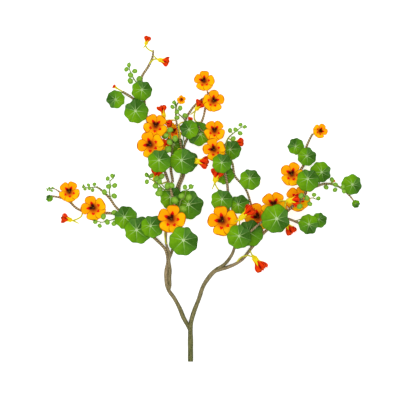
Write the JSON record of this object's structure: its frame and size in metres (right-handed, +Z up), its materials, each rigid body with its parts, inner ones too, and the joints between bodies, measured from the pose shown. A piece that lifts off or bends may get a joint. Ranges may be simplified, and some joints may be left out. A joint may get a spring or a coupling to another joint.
{
  "type": "nasturtium plant",
  "caption": "Cut branching nasturtium stem with round shield-shaped leaves, open spurred flowers and closed trumpet flowers, laid down flat.",
  "frame": {"origin": "on the surface that the plant lies on, under the middle of the plant", "axes": "+Y from the cut end of the main stem towards the growing tips, +Z up from the surface, +X to the right of the stem"},
  "size_m": [0.6295, 0.6533, 0.0501],
  "materials": {
    "brown_stem": "dry fibrous stem skin, ridged, matt",
    "leaf_blade": "waxy leaf blade with pale veins, satin",
    "petal": "velvety petal, orange yellow with red flames",
    "closed_flower": "velvety petal, red over a yellow tube"
  },
  "bodies": {
    "root": {"main_stem": "brown_stem", "right_branch": "brown_stem", "left_branch": "brown_stem", "left_side_branch": "brown_stem", "centre_branch": "brown_stem", "centre_twig": "brown_stem", "inner_branch": "brown_stem", "crown_branch": "brown_stem", "upper_right_branch": "brown_stem", "middle_branch": "brown_stem", "centre_right_branch": "brown_stem", "far_right_branch": "brown_stem", "leaf_01": "leaf_blade", "leaf_02": "leaf_blade", "leaf_03": "leaf_blade", "leaf_04": "leaf_blade", "leaf_05": "leaf_blade", "leaf_06": "leaf_blade", "leaf_07": "leaf_blade", "leaf_08": "leaf_blade", "leaf_09": "leaf_blade", "leaf_10": "leaf_blade", "leaf_11": "leaf_blade", "leaf_12": "leaf_blade", "leaf_13": "leaf_blade", "leaf_14": "leaf_blade", "leaf_15": "leaf_blade", "leaf_16": "leaf_blade", "leaf_17": "leaf_blade", "leaf_18": "leaf_blade", "leaf_19": "leaf_blade", "leaf_20": "leaf_blade", "leaf_21": "leaf_blade", "leaf_22": "leaf_blade", "leaf_23": "leaf_blade", "leaf_24": "leaf_blade", "leaf_25": "leaf_blade", "leaf_26": "leaf_blade", "leaf_27": "leaf_blade", "leaf_28": "leaf_blade", "leaf_29": "leaf_blade", "leaf_30": "leaf_blade", "flower_01": "petal", "flower_02": "petal", "flower_03": "petal", "flower_04": "petal", "flower_05": "petal", "flower_06": "petal", "flower_07": "petal", "flower_08": "petal", "flower_09": "petal", "flower_10": "petal", "flower_11": "petal", "flower_12": "petal", "flower_13": "petal", "flower_14": "petal", "flower_15": "petal", "flower_16": "petal", "closed_flower_01": "closed_flower", "closed_flower_02": "closed_flower"}
  },
  "joints": []
}
